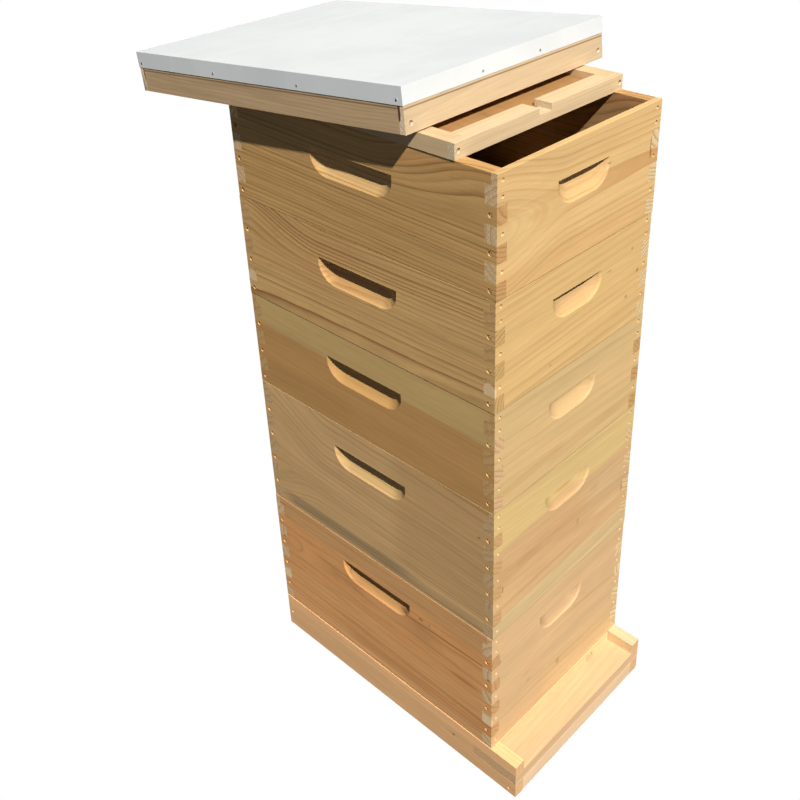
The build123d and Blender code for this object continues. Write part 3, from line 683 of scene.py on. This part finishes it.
def dress(node):
    """Gives a CAD node its finish, and softens its edges where it is wood."""
    piece = nodes[node]
    piece.data.materials.clear()
    if node == "cover_metal":
        piece.data.materials.append(painted_sheet("white_sheet"))
        return
    if node.endswith("nails"):
        piece.data.materials.append(shared("nail_steel", nail_metal))
        return
    if node.endswith("foundation"):
        piece.data.materials.append(shared("wax_foundation", wax_sheet))
        return
    along, across, look = wood_look(node)
    low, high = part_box(node)
    half_deep = abs((high - low).dot(along.cross(across))) / 2
    look = dict(look, middle=(low + high) / 2, half_deep=half_deep)
    piece.data.materials.append(wood(f"wood_{node}", along, across, look))
    weld = piece.modifiers.new("weld", "WELD")
    weld.merge_threshold = SAME_POINT
    flat = piece.modifiers.new("flat", "DECIMATE")
    flat.decimate_type = "DISSOLVE"
    flat.angle_limit = SAME_PLANE
    soft = piece.modifiers.new("soft_edges", "BEVEL")
    soft.width = EDGE_WEAR
    soft.segments = EDGE_SEGMENTS
    soft.limit_method = "ANGLE"
    soft.angle_limit = EDGE_ANGLE
    soft.use_clamp_overlap = True


for node_name in sorted(nodes):
    dress(node_name)


# ---------------------------------------------------------------- floor, light and camera

WHITE = (1.0, 1.0, 1.0, 1)
BLACK = (0.0, 0.0, 0.0, 1)
FLOOR_SIZE = 30.0
BACKDROP_RADIUS = 14.0
BACKDROP_FOOT = -0.5

SUN_TRAVEL = Vector((0.277, 0.600, -0.750))
SUN_COLOUR = (1.0, 0.975, 0.93)
FILL_TRAVEL = Vector((-0.70, -0.70, 0.30))
FILL_COLOUR = (1.0, 0.985, 0.96)
SKY_COLOUR = (0.93, 1.0, 1.07, 1)
SKY_STRENGTH = 0.115


def white_glow(name):
    """An even white glow without any reflection."""
    t = Tree(name)
    t.shader.inputs["Base Color"].default_value = BLACK
    t.shader.inputs["Specular IOR Level"].default_value = 0.0
    t.shader.inputs["Emission Color"].default_value = WHITE
    t.shader.inputs["Emission Strength"].default_value = 1.0
    return t.material


def stage_white(piece):
    """Makes a floor or backdrop glow white without lighting, mirroring or shading anything."""
    piece.data.materials.append(shared("stage_white", white_glow))
    piece.visible_diffuse = False
    piece.visible_glossy = False
    piece.visible_shadow = False
    bpy.context.scene.collection.objects.link(piece)


def make_floor():
    """An even white floor that takes no shadow, as in a cut-out picture."""
    half = FLOOR_SIZE / 2
    mesh = bpy.data.meshes.new("floor")
    corners = [(-half, -half, 0), (half, -half, 0), (half, half, 0), (-half, half, 0)]
    mesh.from_pydata(corners, [], [(0, 1, 2, 3)])
    stage_white(bpy.data.objects.new("floor", mesh))


def make_backdrop():
    """A white dome far around the object, so that low views have a pale background too."""
    shape = bmesh.new()
    bmesh.ops.create_uvsphere(shape, u_segments=48, v_segments=24, radius=BACKDROP_RADIUS)
    below = [v for v in shape.verts if v.co.z < BACKDROP_FOOT]
    bmesh.ops.delete(shape, geom=below, context="VERTS")
    mesh = bpy.data.meshes.new("backdrop")
    shape.to_mesh(mesh)
    shape.free()
    stage_white(bpy.data.objects.new("backdrop", mesh))


def make_lamp(name, travel, energy, angle, colour):
    """A distant lamp whose light travels one way; a wider angle gives softer shadows."""
    lamp = bpy.data.lights.new(name, "SUN")
    lamp.energy = energy
    lamp.angle = math.radians(angle)
    lamp.color = colour
    holder = bpy.data.objects.new(name, lamp)
    holder.rotation_mode = "QUATERNION"
    holder.rotation_quaternion = travel.to_track_quat("-Z", "Y")
    bpy.context.scene.collection.objects.link(holder)


def make_light():
    """A crisp sun from the front left, a soft fill from low behind, and an even pale sky.

    The fill stands for light that a pale floor throws up. It misses the front and left faces, and
    all but misses the top.
    """
    make_lamp("key", SUN_TRAVEL, 5.75, 1.2, SUN_COLOUR)
    make_lamp("fill", FILL_TRAVEL, 2.5, 30.0, FILL_COLOUR)
    world = bpy.data.worlds.new("pale")
    world.use_nodes = True
    background = world.node_tree.nodes["Background"]
    background.inputs[0].default_value = SKY_COLOUR
    background.inputs[1].default_value = SKY_STRENGTH
    bpy.context.scene.world = world


CAMERA_PLACE = Vector((-1.0153, -1.0075, 1.5149))
CAMERA_LOOK = Vector((0.63449, 0.60343, -0.48301))
CAMERA_ROLL = -1.396
CAMERA_LENS = 46.0
CAMERA_SHIFT = (-0.041, -0.139)


def make_camera():
    """Above the front left corner, at the height of a standing person's eyes."""
    data = bpy.data.cameras.new("camera")
    data.sensor_width = 36.0
    data.lens = CAMERA_LENS
    data.shift_x, data.shift_y = CAMERA_SHIFT
    data.clip_start = 0.05
    data.clip_end = 100.0
    camera = bpy.data.objects.new("camera", data)
    level = CAMERA_LOOK.to_track_quat("-Z", "Y").to_matrix()
    turn = level @ Matrix.Rotation(math.radians(CAMERA_ROLL), 3, "Z")
    camera.matrix_world = Matrix.Translation(CAMERA_PLACE) @ turn.to_4x4()
    bpy.context.scene.collection.objects.link(camera)
    bpy.context.scene.camera = camera


make_floor()
make_backdrop()
make_light()
make_camera()
bpy.context.scene.view_settings.view_transform = "Standard"
